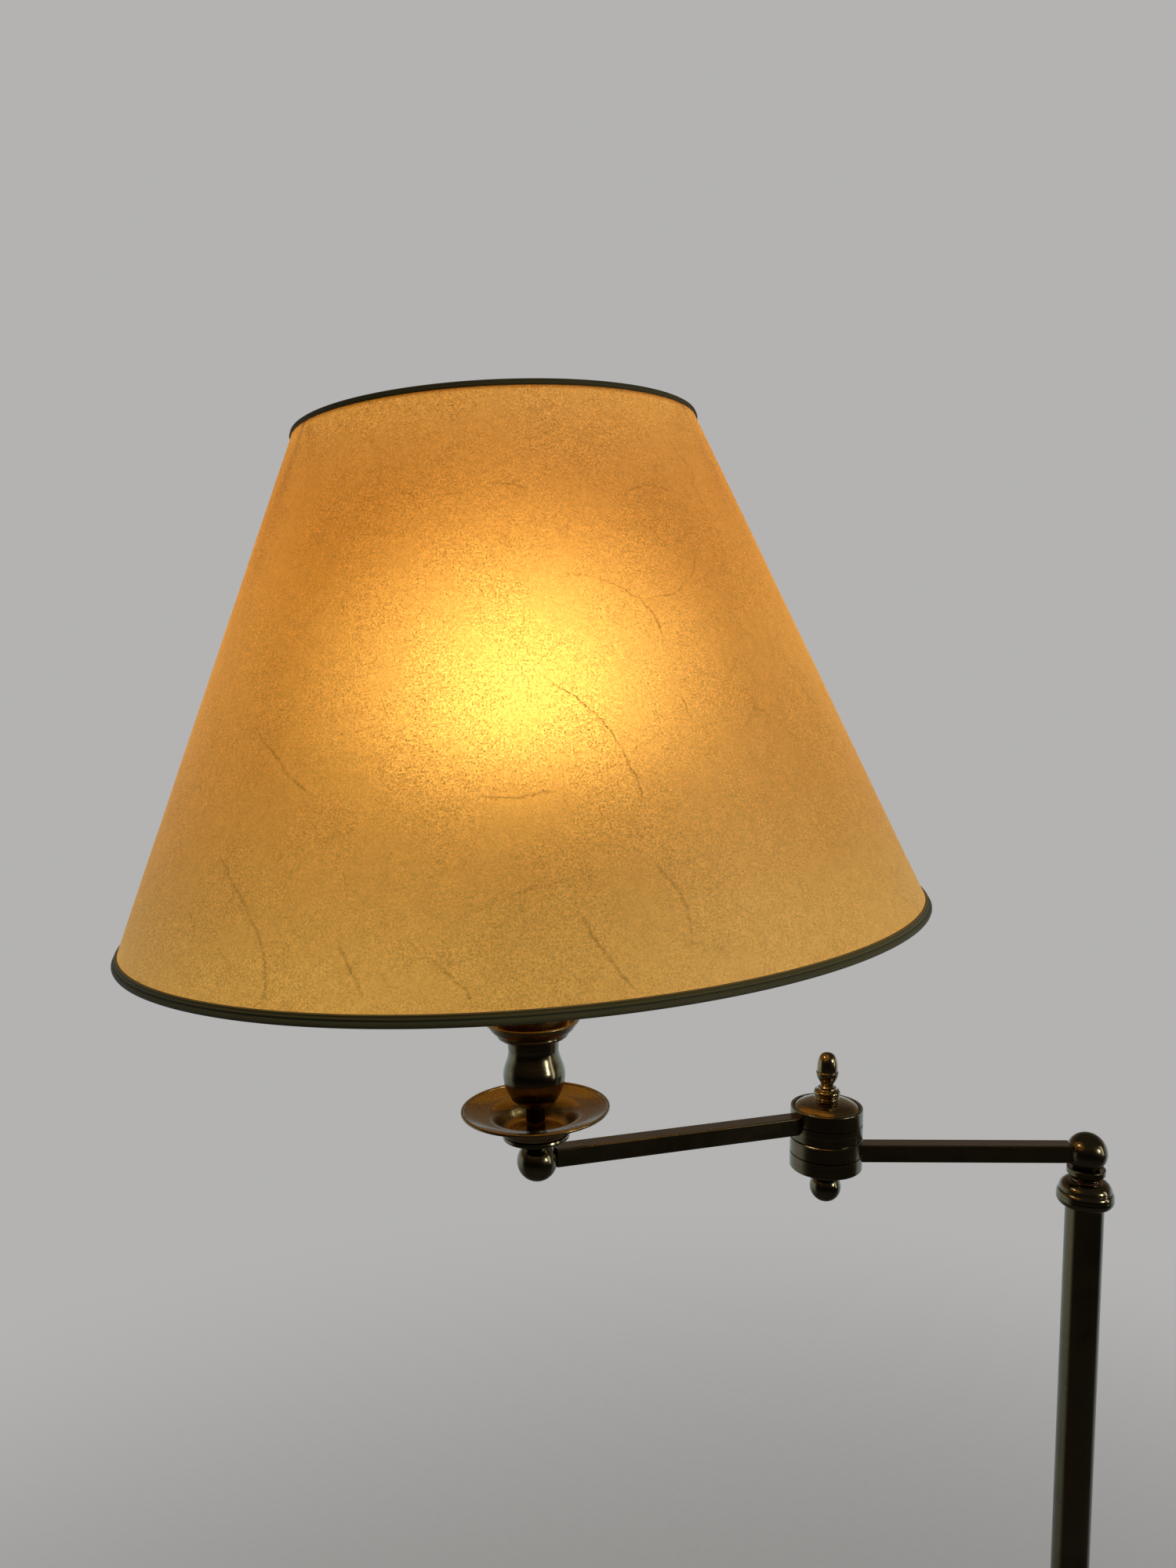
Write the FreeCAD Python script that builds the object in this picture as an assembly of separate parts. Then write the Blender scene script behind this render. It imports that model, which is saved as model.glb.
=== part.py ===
import FreeCAD, Part
import math
import os

# Swing-arm (bridge) floor lamp in antique brass with a conical parchment shade.
# Millimetres, +Z up. Origin: centre of the underside of the base, on the column axis.
# The inner arm lies along -X from the column, the viewer of the rest pose stands at -Y.

os.makedirs("parts", exist_ok=True)
V = FreeCAD.Vector

# ---------------------------------------------------------------- driving dimensions
ARM_Z = 1080.0          # height of the inner arm's centre line
ARM_STEP = 18.8         # outer arm's centre line above the inner one
INNER_LEN = 155.4       # column axis to drum axis
OUTER_LEN = 178.7       # drum axis to head axis
OUTER_TURN = 18.35      # rest bend of the elbow, degrees, towards -Y
BAR = 10.4              # square arm tube, outside
BAR_WALL = 1.0
BAR_EDGE = 0.8          # rounding of the arm's long edges

COLUMN_R = 11.05
COLUMN_WALL = 1.2
ROD_R = 5.0             # hollow threaded rod that ties base, column and top collar
ROD_BORE = 3.6

BASE_R = 135.0
BASE_EDGE_H = 20.0
FELT_T = 3.0

DRUM_R = 21.3
DRUM_HALF = 9.4         # half height of one barrel of the drum
PIVOT_R = 5.0
PIVOT_BORE = 3.6
RUN = 0.05              # radial running clearance of the swivels

COLUMN_BALL_R = 11.75
HEAD_BALL_R = 11.2
HEAD_BALL_DROP = 1.5    # its centre lies a little under the arm's centre line
ARM_END = 10.2          # arm's end plane from a ball's centre
HEAD_TILT = 1.69        # lamp head leans towards -X, degrees
STEM_R = 5.27
STEM_BORE = 3.6
PAN_R = 40.9
VASE_BELLY_R = 17.1
CUP_R = 28.0

LIFT = 72.0             # spacer tube between cup and lampholder
HUB_Z = 111.0 + LIFT    # shade hub above the head ball, along the head's axis
HUB_PLAY = 1.8          # the hub lies off-centre on the lampholder by its play, towards -X
SHADE_TILT = 3.53       # shade frame leans towards -X, degrees
SHADE_S0 = -44.4        # paper's lower edge from the hub, along the shade's axis
SHADE_S1 = 208.7        # paper's upper edge
SHADE_RB = 208.1        # paper's outer radius at its lower edge
SHADE_RT = 102.5        # at its upper edge
PAPER_T = 0.7
WIRE_R = 1.4            # frame rings
SPOKE_R = 1.5
SPOKES_DEG = (-145.4, -25.4, 94.6)
BULB_R = 30.0
BULB_C = 178.0 + LIFT   # globe's centre above the head ball
LEAD_R = 2.2


# ---------------------------------------------------------------- helpers
def lathe(start, *steps):
    """Solid of revolution about Z. A step is (r, z), ('a', mid, end) or ('s', points)."""
    edges = []
    cur = V(start[0], 0, start[1])
    first = cur
    for st in steps:
        if st[0] == 'a':
            mid, end = V(st[1][0], 0, st[1][1]), V(st[2][0], 0, st[2][1])
            edges.append(Part.Arc(cur, mid, end).toShape())
            cur = end
        elif st[0] == 's':
            pts = [cur] + [V(p[0], 0, p[1]) for p in st[1]]
            sp = Part.BSplineCurve()
            sp.interpolate(pts)
            edges.append(sp.toShape())
            cur = pts[-1]
        else:
            end = V(st[0], 0, st[1])
            if (end - cur).Length > 1e-6:
                edges.append(Part.LineSegment(cur, end).toShape())
                cur = end
    if (cur - first).Length > 1e-6:
        edges.append(Part.LineSegment(cur, first).toShape())
    face = Part.Face(Part.Wire(edges))
    s = face.revolve(V(0, 0, 0), V(0, 0, 1), 360)
    if s.ShapeType != 'Solid':
        s = Part.Solid(Part.Shell(s.Faces))
    if s.Volume < 0:
        s.reverse()
    return s


def ball_arc(r, zc_, a0, a1):
    """Arc step on a ball of radius r centred on the axis at height zc_, between two latitudes."""
    am, a1 = math.radians((a0 + a1) / 2), math.radians(a1)
    return ('a', (r * math.cos(am), zc_ + r * math.sin(am)), (r * math.cos(a1), zc_ + r * math.sin(a1)))


def ring(r0, r1, z0, z1, edge=0.0):
    """Flat ring, with small chamfers on its outer edges."""
    if edge <= 0:
        return lathe((r0, z0), (r1, z0), (r1, z1), (r0, z1))
    return lathe((r0, z0), (r1 - edge, z0), (r1, z0 + edge), (r1, z1 - edge), (r1 - edge, z1), (r0, z1))


def move(s, v):
    s = s.copy()
    s.translate(v)
    return s


def place(s, base, axis=V(0, 0, 1), deg=0.0):
    s = s.copy()
    s.Placement = FreeCAD.Placement(base, FreeCAD.Rotation(axis, deg)).multiply(s.Placement)
    return s


def square_bar(x0, x1, side, edge=0.0):
    """Square bar along X between x0 and x1, centred on the X axis."""
    b = Part.makeBox(x1 - x0, side, side, V(x0, -side / 2, -side / 2))
    if edge > 0:
        es = [e for e in b.Edges if abs(abs((e.Vertexes[0].Point - e.Vertexes[1].Point).x) - (x1 - x0)) < 1e-6]
        b = b.makeFillet(edge, es)
    return b


def rod(p, q, r):
    d = q - p
    return Part.makeCylinder(r, d.Length, p, d)


def lead(points, radius, r, label):
    """Round lead along straight runs joined by tangent arcs."""
    pts = [V(*p) for p in points]
    edges, cur, length = [], pts[0], 0.0
    for i in range(1, len(pts) - 1):
        a, b, c = pts[i - 1], pts[i], pts[i + 1]
        u, w = (a - b).normalize(), (c - b).normalize()
        ang = u.getAngle(w)
        cut = radius / math.tan(ang / 2)
        t0, t1 = b + u * cut, b + w * cut
        bis = (u + w).normalize()
        mid = b + bis * (radius / math.sin(ang / 2) - radius)
        if (t0 - cur).Length > 1e-6:
            edges.append(Part.LineSegment(cur, t0).toShape())
        edges.append(Part.Arc(t0, mid, t1).toShape())
        cur = t1
    edges.append(Part.LineSegment(cur, pts[-1]).toShape())
    path = Part.Wire(edges)
    d = (pts[1] - pts[0]).normalize()
    prof = Part.Wire([Part.makeCircle(r, pts[0], d)])
    s = path.makePipeShell([prof], True, False)
    want = math.pi * r * r * path.Length
    print('%s: length %.1f, bend radius %.1f, volume %.1f of %.1f' % (label, path.Length, radius, s.Volume, want))
    return s


def single(s):
    """The one solid of a boolean's result."""
    s = s.removeSplitter() if s.ShapeType != 'Solid' else s
    return s.Solids[0] if len(s.Solids) == 1 else s


parts = {}


def add(name, shape):
    assert name not in parts, name
    assert shape.isValid(), name
    parts[name] = shape


# ================================================================ stand
COVER_T = 1.2
add('base_felt', lathe((0, 0), (BASE_R - 5, 0), (BASE_R - 5, FELT_T), (0, FELT_T)))

# spun brass cover: rolled foot, upright edge, cove, ogee up to the collar
cover_out = [
    (BASE_R - 2.0, 1.2),
    ('a', (BASE_R, 3.2), (BASE_R - 1.0, 5.2)),
    (BASE_R - 2.2, 5.8),
    (BASE_R - 2.2, BASE_EDGE_H - 2.4),
    ('a', (BASE_R - 2.9, BASE_EDGE_H - 0.7), (BASE_R - 4.6, BASE_EDGE_H)),
    (BASE_R - 14.0, BASE_EDGE_H + 1.6),
    ('a', (BASE_R - 15.6, BASE_EDGE_H + 2.5), (BASE_R - 16.2, BASE_EDGE_H + 4.2)),
    (BASE_R - 16.6, BASE_EDGE_H + 5.4),
    ('s', [(100.0, 29.6), (76.0, 33.4), (52.0, 38.0), (34.0, 44.5), (25.0, 50.0)]),
    (12.6, 51.4),
]
cover_in = [
    (12.6, 51.4 - COVER_T),
    (24.6, 50.0 - COVER_T),
    ('s', [(33.4, 43.4), (51.6, 36.8), (75.8, 32.2), (99.8, 28.4), (BASE_R - 17.9, BASE_EDGE_H + 4.4)]),
    (BASE_R - 17.0, BASE_EDGE_H + 2.0),
    (BASE_R - 14.4, BASE_EDGE_H + 0.4),
    (BASE_R - 4.8, BASE_EDGE_H - COVER_T),
    (BASE_R - 3.4, BASE_EDGE_H - 2.6),
    (BASE_R - 3.4, 1.2),
]
cover = lathe((BASE_R - 3.4, 1.2), *cover_out, *cover_in)
GLAND_Z = 11.7
cover = single(cover.cut(rod(V(0, BASE_R - 12, GLAND_Z), V(0, BASE_R + 4, GLAND_Z), 4.2)))
add('base_cover', cover)

# cast-iron ballast: domed disc with a pocket for the nut and a channel for the lead
weight = lathe((26.0, FELT_T), (BASE_R - 6.0, FELT_T), (BASE_R - 6.0, 15.5), (BASE_R - 20.0, 19.0), (BASE_R - 24.0, 22.0),
               (76.0, 30.2), (52.0, 34.2), (34.0, 40.5), (22.0, 44.5), (5.3, 44.5), (5.3, 32.0), (26.0, 32.0))
channel = Part.makeBox(9.0, 140.0, 13.0, V(-4.5, 20.0, FELT_T - 0.5))
weight = single(weight.cut(channel))
add('base_weight', weight)
add('base_washer', ring(5.3, 13.0, 30.3, 32.0))
nut = Part.Face(Part.makePolygon([V(9.8 * math.cos(math.radians(60 * k)), 9.8 * math.sin(math.radians(60 * k)), 24.3) for k in range(7)])).extrude(V(0, 0, 6.0))
add('base_nut', single(nut.cut(Part.makeCylinder(ROD_R, 10, V(0, 0, 23)))))

# rubber grommet in the cover's back edge: the flex would leave here
grommet = lathe((2.6, 0.0), (5.0, 0.0), ('a', (5.6, 0.5), (5.4, 1.3)), (4.18, 1.4), (4.18, 3.1), (5.2, 3.1), (5.2, 4.4), (2.6, 4.4))
grommet = place(grommet, V(0, BASE_R - 2.2 + 1.45, GLAND_Z), V(1, 0, 0), 90)
add('flex_grommet', grommet)

# turned foot collar between base and column
add('foot_collar', lathe(
    (COLUMN_R + 0.02, 55.0), (5.3, 55.0), (5.3, 44.5), (12.5, 44.5), (12.5, 51.45), (24.6, 51.45),
    ('a', (27.2, 54.6), (24.6, 57.8)), (22.6, 58.0), (22.4, 59.4),
    ('s', [(19.2, 62.2), (16.4, 67.6), (15.6, 75.2), (16.2, 81.6)]),
    (17.6, 82.2), ('a', (19.3, 84.4), (17.6, 86.6)), (15.4, 87.2),
    ('a', (14.6, 89.4), (12.4, 90.4)), (COLUMN_R + 0.02, 90.4)))

COLLAR_BOT = ARM_Z - 32.4
COLLAR_TOP = ARM_Z - 17.0
add('column_tube', ring(COLUMN_R - COLUMN_WALL, COLUMN_R, 55.0, ARM_Z - 26.4))

# top collar: shoulder, lip and torus
zc = ARM_Z
add('column_collar', lathe(
    (COLUMN_R + 0.02, zc - 26.4), (COLUMN_R + 0.02, zc - 32.4),
    ('a', (15.4, zc - 30.6), (16.2, zc - 26.4)),
    ('a', (15.9, zc - 24.1), (14.95, zc - 22.8)),
    (14.75, zc - 22.2), (14.95, zc - 21.5),
    ('a', (12.9, zc - 18.3), (9.0, zc - 17.0)),
    (ROD_R + 0.02, zc - 17.0), (ROD_R + 0.02, zc - 26.4)))

# rod: hollow, from the base nut up into the swivel
add('tie_rod', ring(ROD_BORE, ROD_R, 23.0, zc - 6.4))

# swivel spigot screwed on the rod, with a stop groove, and its fibre washer
add('column_spigot', lathe(
    (ROD_R + 0.02, zc - 17.0), (6.8, zc - 17.0), (6.8, zc - 13.7), (6.0, zc - 13.7), (6.0, zc - 9.9), (6.8, zc - 9.9),
    (6.8, zc - 5.4), (6.4, zc - 5.0), (ROD_R + 0.02, zc - 5.0)))
add('column_washer', ring(6.85, 8.4, zc - 16.98, zc - 16.68))

# mains lead inside base and column
add('lead_column', lead([(0, BASE_R - 12.0, GLAND_Z), (0, 0, GLAND_Z), (0, 0, zc - 8.0)], 12.0, LEAD_R, 'lead_column'))

# ================================================================ inner arm
ball = lathe((0, zc + COLUMN_BALL_R), ball_arc(COLUMN_BALL_R, zc, 90.0, -52.2),
             (10.4, zc - 9.4), ('a', (10.9, zc - 9.6), (11.0, zc - 10.2)), (11.0, zc - 12.8),
             ('a', (9.1, zc - 14.0), (8.5, zc - 16.6)), (0, zc - 16.6))
ball = ball.cut(Part.makeCylinder(6.8 + RUN, 12.2, V(0, 0, zc - 16.7)))
ball = ball.cut(Part.makeCylinder(3.2, 6.0, V(0, 0, zc - 5.0)))
ball = ball.cut(rod(V(0.0, 0, zc), V(-14, 0, zc), 3.2))
ball = ball.cut(Part.makeSphere(3.2, V(0, 0, zc)))
arm1_solid = move(square_bar(-(INNER_LEN - 18.6), -ARM_END, BAR, BAR_EDGE), V(0, 0, zc))
ball = ball.cut(arm1_solid)
GRUB_Z = zc - 11.8
grub_hole = rod(V(0, 6.0, GRUB_Z), V(0, 12.0, GRUB_Z), 1.25)
ball = single(ball.cut(grub_hole))
add('column_ball', ball)
# the screw's tip rides in the groove of the spigot
grub = rod(V(0, 6.3, GRUB_Z), V(0, 10.7, GRUB_Z), 1.23)
grub = single(grub.cut(Part.makeBox(3.0, 1.0, 0.5, V(-1.5, 10.0, GRUB_Z - 0.25))))
add('swivel_grub_screw', grub)

arm1 = arm1_solid.cut(move(square_bar(-INNER_LEN, 0, BAR - 2 * BAR_WALL), V(0, 0, zc)))
add('inner_arm_tube', single(arm1))

DX = -INNER_LEN


def drum(s):
    return move(s, V(DX, 0, zc))


GROOVE = 0.55
B0, B1 = -DRUM_HALF, DRUM_HALF - 0.15
lower = lathe(
    (18.9, B0), (DRUM_R - 0.7, B0), (DRUM_R, B0 + 0.7), (DRUM_R, -GROOVE), (DRUM_R - 0.8, -0.05), (DRUM_R, 0.45),
    (DRUM_R, B1 - 0.45), (DRUM_R - 0.45, B1), (PIVOT_R + 0.02, B1), (PIVOT_R + 0.02, B1 - 2.2), (18.9, B1 - 2.2))
lower = drum(lower).cut(arm1_solid)
add('lower_barrel', single(lower))
add('lower_barrel_plate', drum(ring(PIVOT_R + 0.02, 18.88, B0 + 0.4, B0 + 2.4)))
add('barrel_washer', drum(ring(PIVOT_R + 0.06, 16.0, B1 + 0.04, B1 + 0.26)))

U0, U1 = DRUM_HALF + 0.15, 28.2      # upper barrel
pivot = ring(PIVOT_BORE, PIVOT_R, -15.5, 15.0)
# window for the lead on the inner arm's side; it leaves upwards into the upper barrel
pivot = drum(single(pivot.cut(Part.makeBox(8.0, 6.0, 7.0, V(1.0, -3.0, -3.5)))))
add('elbow_pivot', pivot)
add('pivot_washer', drum(ring(PIVOT_R + 0.06, 8.6, U0 + 2.24, U0 + 2.52)))
pn = Part.Face(Part.makePolygon([V(8.4 * math.cos(math.radians(60 * k)), 8.4 * math.sin(math.radians(60 * k)), U0 + 2.56) for k in range(7)])).extrude(V(0, 0, 2.7))
add('pivot_nut', drum(single(pn.cut(Part.makeCylinder(PIVOT_R, 10, V(0, 0, 10))))))

# ball nut under the drum
nut_c = -21.5
bn = lathe((0, nut_c - 9.2), ball_arc(9.2, nut_c, -90.0, 52.5), (5.6, -10.6), (7.4, -10.4), (7.4, B0 + 0.38), (PIVOT_R + 0.02, B0 + 0.38), (PIVOT_R + 0.02, -15.6), (0, -15.6))
add('ball_nut', drum(bn))

add('lead_inner_arm', lead([(0, 0, zc - 5.6), (0, 0, zc), (DX, 0, zc), (DX, 0, zc + 13.0)], 5.2, LEAD_R, 'lead_inner_arm'))

# ================================================================ outer arm
zo = ARM_STEP


def swing(s):
    """From the drum's frame, outer arm along -X at its own height, to the row."""
    return place(s, V(DX, 0, zc), V(0, 0, 1), OUTER_TURN)


arm2_solid = move(square_bar(-(OUTER_LEN - ARM_END), -18.0, BAR, BAR_EDGE), V(0, 0, zo))
upper = lathe(
    (PIVOT_R + RUN, U0), (DRUM_R - 0.45, U0), (DRUM_R, U0 + 0.45), (DRUM_R, zo - GROOVE), (DRUM_R - 0.8, zo - 0.05), (DRUM_R, zo + 0.45),
    (DRUM_R, U1 - 1.0), ('a', (DRUM_R - 0.3, U1 - 0.3), (DRUM_R - 1.0, U1)), (19.5, U1), (19.2, U1 - 0.5), (19.2, U1 - 1.6), (18.4, U1 - 1.6),
    (18.4, U0 + 2.2), (PIVOT_R + RUN, U0 + 2.2))
upper = single(upper.cut(arm2_solid))
add('upper_barrel', swing(upper))
add('barrel_cap', swing(lathe(
    (PIVOT_R + 0.02, 29.4), (PIVOT_R + 0.02, 31.3), (8.0, 31.2),
    ('s', [(11.5, 30.75), (15.2, 29.7), (17.8, 28.35), (18.9, 27.5)]), (19.15, 26.7), (18.0, 26.7),
    ('s', [(14.8, 28.2), (11.2, 29.2), (8.0, 29.4)]))))
# double ring collar and acorn finial on a stud through the cap
add('finial_stud', swing(lathe(
    (0, 27.9), (8.0, 27.9), (8.0, 29.38), (PIVOT_R, 29.38), (PIVOT_R, 39.2), (2.0, 39.2), (2.0, 46.0), (0, 46.0))))
add('finial_collar', swing(lathe(
    (PIVOT_R + 0.02, 31.32), (6.4, 31.32), (6.6, 31.9), ('a', (7.3, 32.8), (6.7, 33.7)), ('a', (6.35, 34.1), (6.7, 34.5)),
    (7.2, 34.7), ('a', (7.85, 36.2), (7.0, 37.7)), ('a', (5.6, 38.4), (5.3, 39.3)), (PIVOT_R + 0.02, 39.3))))
add('acorn_finial', swing(lathe(
    (2.05, 39.35), (4.4, 39.35), (3.6, 40.4),
    ('s', [(3.9, 41.6), (4.9, 43.4), (5.9, 45.4), (6.5, 47.4)]), (6.55, 48.2), ('a', (6.5, 48.7), (6.1, 48.9)), (5.95, 49.2),
    ('s', [(5.98, 51.5), (5.7, 54.6), (4.9, 57.4), (3.3, 59.4), (1.4, 60.15), (0, 60.25)]),
    (0, 46.5), (2.05, 46.5))))
arm2 = arm2_solid.cut(move(square_bar(-OUTER_LEN, 0, BAR - 2 * BAR_WALL), V(0, 0, zo)))
add('outer_arm_tube', swing(single(arm2)))

HEAD = V(DX - OUTER_LEN * math.cos(math.radians(OUTER_TURN)), -OUTER_LEN * math.sin(math.radians(OUTER_TURN)), zc + zo)
print('head at %.2f %.2f %.2f' % tuple(HEAD))


def head(s):
    """From the head's frame, axis up from the ball, to the row."""
    return place(s, HEAD, V(0, 1, 0), -HEAD_TILT)


# knuckle ball: flat on top for the seat, pocket for the arm, way for the lead
hb = Part.makeSphere(HEAD_BALL_R, V(0, 0, -HEAD_BALL_DROP))
hb = hb.cut(Part.makeBox(40, 40, 20, V(-20, -20, 7.4)))
hb = hb.cut(Part.makeCylinder(STEM_R + 0.02, 12, V(0, 0, 2.6)))
hb = hb.cut(Part.makeCylinder(3.0, 8, V(0, 0, -2.0)))
hb = head(hb)
way = swing(move(rod(V(-OUTER_LEN, 0, 0), V(-OUTER_LEN + 14, 0, 0), 3.0), V(0, 0, zo)))
hb = hb.cut(way).cut(swing(arm2_solid))
hb = hb.cut(Part.makeSphere(3.0, HEAD))
add('head_ball', single(hb))

# saucer under the pan
add('pan_seat', head(lathe(
    (STEM_R + 0.02, 7.42), (7.8, 7.42), (8.5, 8.4), ('s', [(11.4, 10.0), (14.8, 11.3), (17.3, 12.0)]),
    ('a', (18.4, 12.6), (18.5, 13.5)), (18.2, 14.3), (STEM_R + 0.02, 14.3))))
# pan: a deep well with a wide, nearly flat brim and a rounded rim
add('drip_pan', head(lathe(
    (STEM_R + 0.02, 14.35), (16.8, 14.35), ('s', [(19.2, 15.8), (21.0, 18.8), (22.8, 22.1), (25.2, 24.0), (30.4, 25.2), (36.2, 26.5), (39.7, 27.4)]),
    ('a', (40.9, 28.3), (40.1, 29.2)), ('a', (39.4, 29.1), (38.9, 28.4)),
    ('s', [(35.6, 27.4), (29.8, 26.1), (24.6, 25.0), (21.9, 22.8), (20.1, 19.5), (18.3, 16.5), (16.0, 15.4)]), (STEM_R + 0.02, 15.4))))
add('stem', head(ring(STEM_BORE, STEM_R, 2.7, 80.0 + LIFT)))
add('vase', head(lathe(
    (STEM_R + 0.02, 31.4), (9.4, 31.4), ('a', (10.7, 31.65), (11.4, 32.6)),
    ('s', [(13.27, 35.0), (14.81, 38.0), (16.28, 42.0), (17.02, 46.0), (16.65, 51.0), (14.99, 56.0), (13.93, 60.0), (14.0, 63.4)]),
    (14.1, 66.3), (STEM_R + 0.02, 66.3), (STEM_R + 0.02, 63.6), (11.2, 63.6),
    ('s', [(11.3, 59.6), (12.6, 54.5), (14.2, 49.0), (14.4, 45.6), (13.2, 40.6), (11.4, 37.2), (9.4, 34.6)]), (STEM_R + 0.02, 34.4))))
add('vase_ring', head(lathe(
    (STEM_R + 0.02, 66.35), (14.3, 66.35), ('s', [(15.6, 67.3), (17.4, 68.1), (18.8, 69.1)]),
    ('a', (19.6, 70.2), (19.2, 71.0)), (18.6, 71.1), (STEM_R + 0.02, 71.1))))
add('holder_cup', head(lathe(
    (STEM_R + 0.02, 71.15), (19.9, 71.15), ('s', [(21.6, 72.3), (23.4, 74.4), (24.7, 76.8)]),
    ('a', (25.9, 77.7), (25.5, 78.6)), ('a', (24.6, 78.6), (23.9, 77.8)),
    ('s', [(22.6, 75.4), (21.0, 73.4), (19.5, 72.4)]), (STEM_R + 0.02, 72.4))))
nut = Part.Face(Part.makePolygon([V(9.0 * math.cos(math.radians(60 * k)), 9.0 * math.sin(math.radians(60 * k)), 72.45) for k in range(7)])).extrude(V(0, 0, 4.0))
add('stem_nut', head(single(nut.cut(Part.makeCylinder(STEM_R, 10, V(0, 0, 70))))))

# wide brass sleeve that stands in the cup, and the lampholder on it
add('holder_tube', head(ring(17.9, 19.1, 72.45, 74.6 + LIFT)))


def up(s):
    return head(move(s, V(0, 0, LIFT)))


add('lampholder_base', up(lathe(
    (STEM_R + 0.02, 74.7), (18.7, 74.7), ('a', (19.8, 75.3), (20.2, 76.8)), (20.2, 94.0), (16.4, 94.0), (16.4, 82.0),
    ('a', (15.6, 78.8), (12.6, 77.4)), (STEM_R + 0.02, 77.4))))
skirt = [(14.5, 94.1), (20.2, 94.1), (20.2, 99.0), (19.7, 99.6)]
zt = 100.6
while zt < 120.2:
    skirt += [(19.7, zt), (18.9, zt + 0.65), (19.7, zt + 1.3)]
    zt += 2.3
skirt += [(19.7, 121.6), (19.1, 122.2), (14.5, 122.2)]
add('lampholder_skirt', up(lathe(skirt[0], *skirt[1:])))
add('lampholder_insulator', up(lathe((0, 90.5), (13.8, 90.5), (13.8, 94.15), (14.4, 94.15), (14.4, 98.6), (0, 98.6))))
tongue = Part.makeBox(9.0, 4.0, 0.5, V(-4.0, -2.0, 100.4)).fuse(Part.makeBox(0.5, 4.0, 2.3, V(4.5, -2.0, 98.6)))
add('centre_contact', up(single(tongue)))
add('screw_shell', up(ring(13.5, 14.2, 98.7, 118.5)))
add('ring_nut_lower', up(ring(19.75, 27.0, 105.6, 109.3, 0.8)))
add('ring_nut_upper', up(ring(19.75, 27.0, 112.7, 116.4, 0.8)))

add('bulb_cap', up(lathe((0, 101.0), (4.6, 101.0), (5.0, 102.0), (9.5, 104.0), (13.0, 106.0), (13.0, 124.0), (0, 124.0))))
def globe(rr, z0, r0):
    # straight neck, then a cone tangent to the ball
    px, pz = r0 + 0.6, 131.0 + LIFT
    d = math.hypot(px, BULB_C - pz)
    t = math.atan2(pz - BULB_C, px) + math.acos(rr / d)
    m = (t + math.pi / 2) / 2
    return lathe((0, z0), (r0, z0), (px, pz), (rr * math.cos(t), BULB_C + rr * math.sin(t)),
                 ('a', (rr * math.cos(m), BULB_C + rr * math.sin(m)), (0, BULB_C + rr)))


glass = globe(BULB_R, 124.05 + LIFT, 13.6).cut(globe(BULB_R - 1.0, 124.0 + LIFT, 12.6))
add('bulb_globe', head(single(glass)))

# ---------------------------------------------------------------- shade, in its own leaning frame
hub_c = head(Part.Vertex(V(0, 0, HUB_Z))).Point + V(-HUB_PLAY, 0, 0)
print('hub at %.2f %.2f %.2f' % tuple(hub_c))


def shade(s):
    return place(s, hub_c, V(0, 1, 0), -SHADE_TILT)


def R(s):
    return SHADE_RB + (SHADE_RT - SHADE_RB) * (s - SHADE_S0) / (SHADE_S1 - SHADE_S0)


s0, s1 = SHADE_S0, SHADE_S1
add('shade_paper', shade(lathe((R(s0) - PAPER_T, s0), (R(s0), s0), (R(s1), s1), (R(s1) - PAPER_T, s1))))

top_r, bot_r = R(s1 - 1.6) - PAPER_T - WIRE_R * 1.084 - 0.05, R(s0 + 1.6) - PAPER_T - WIRE_R * 1.084 - 0.05
top_ring = Part.makeTorus(top_r, WIRE_R, V(0, 0, s1 - 1.6))
add('shade_top_ring', shade(top_ring))
add('shade_bottom_ring', shade(Part.makeTorus(bot_r, WIRE_R, V(0, 0, s0 + 1.6))))

add('shade_hub', shade(ring(22.1, 29.2, -0.7, 0.7)))
spokes = []
for a in SPOKES_DEG:
    c, s_ = math.cos(math.radians(a)), math.sin(math.radians(a))
    p, q = V(30.6 * c, 30.6 * s_, -0.7), V((top_r - 1.2) * c, (top_r - 1.2) * s_, s1 - 4.0)
    spokes.append(shade(single(rod(p, q, SPOKE_R).cut(top_ring))))
add('shade_spokes', Part.makeCompound(spokes))

ts = 1.35   # braid stands proud of the paper
add('top_trim', shade(lathe(
    (R(s1 - 2.6) + 0.02, s1 - 2.6), ('a', (R(s1 - 1.4) + ts, s1 - 1.3), (R(s1) + 0.9, s1 + 0.4)),
    (R(s1) - 2.4, s1 + 0.65), (R(s1) - 3.0, s1 + 0.05), (R(s1) + 0.02, s1 + 0.05))))
add('bottom_trim_upper', shade(lathe(
    (R(s0 + 4.2) + 0.02, s0 + 4.2), ('a', (R(s0 + 3.0) + ts, s0 + 2.95), (R(s0 + 1.8) + 0.02, s0 + 1.8)))))
add('bottom_trim_lower', shade(lathe(
    (R(s0 + 1.75) + 0.02, s0 + 1.75), ('a', (R(s0 + 0.4) + ts + 0.15, s0 + 0.4), (R(s0) + 0.5, s0 - 0.8)),
    (R(s0) - 2.6, s0 - 0.8), (R(s0) - 3.0, s0 - 0.05), (R(s0) + 0.02, s0 - 0.05))))

# overlap strip of the paper, at the back
seam_w = 2.0   # degrees either side
lap = lathe((R(s0 + 4.4) + 0.02, s0 + 4.4), (R(s0 + 4.4) + 0.5, s0 + 4.4), (R(s1 - 2.9) + 0.5, s1 - 2.9), (R(s1 - 2.9) + 0.02, s1 - 2.9))
wedge = Part.Face(Part.makePolygon([V(0, 0, 0), V(400 * math.cos(math.radians(72 - seam_w)), 400 * math.sin(math.radians(72 - seam_w)), 0),
                                    V(400 * math.cos(math.radians(72 + seam_w)), 400 * math.sin(math.radians(72 + seam_w)), 0), V(0, 0, 0)])).extrude(V(0, 0, 400))
add('shade_seam', shade(single(lap.common(wedge))))

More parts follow.
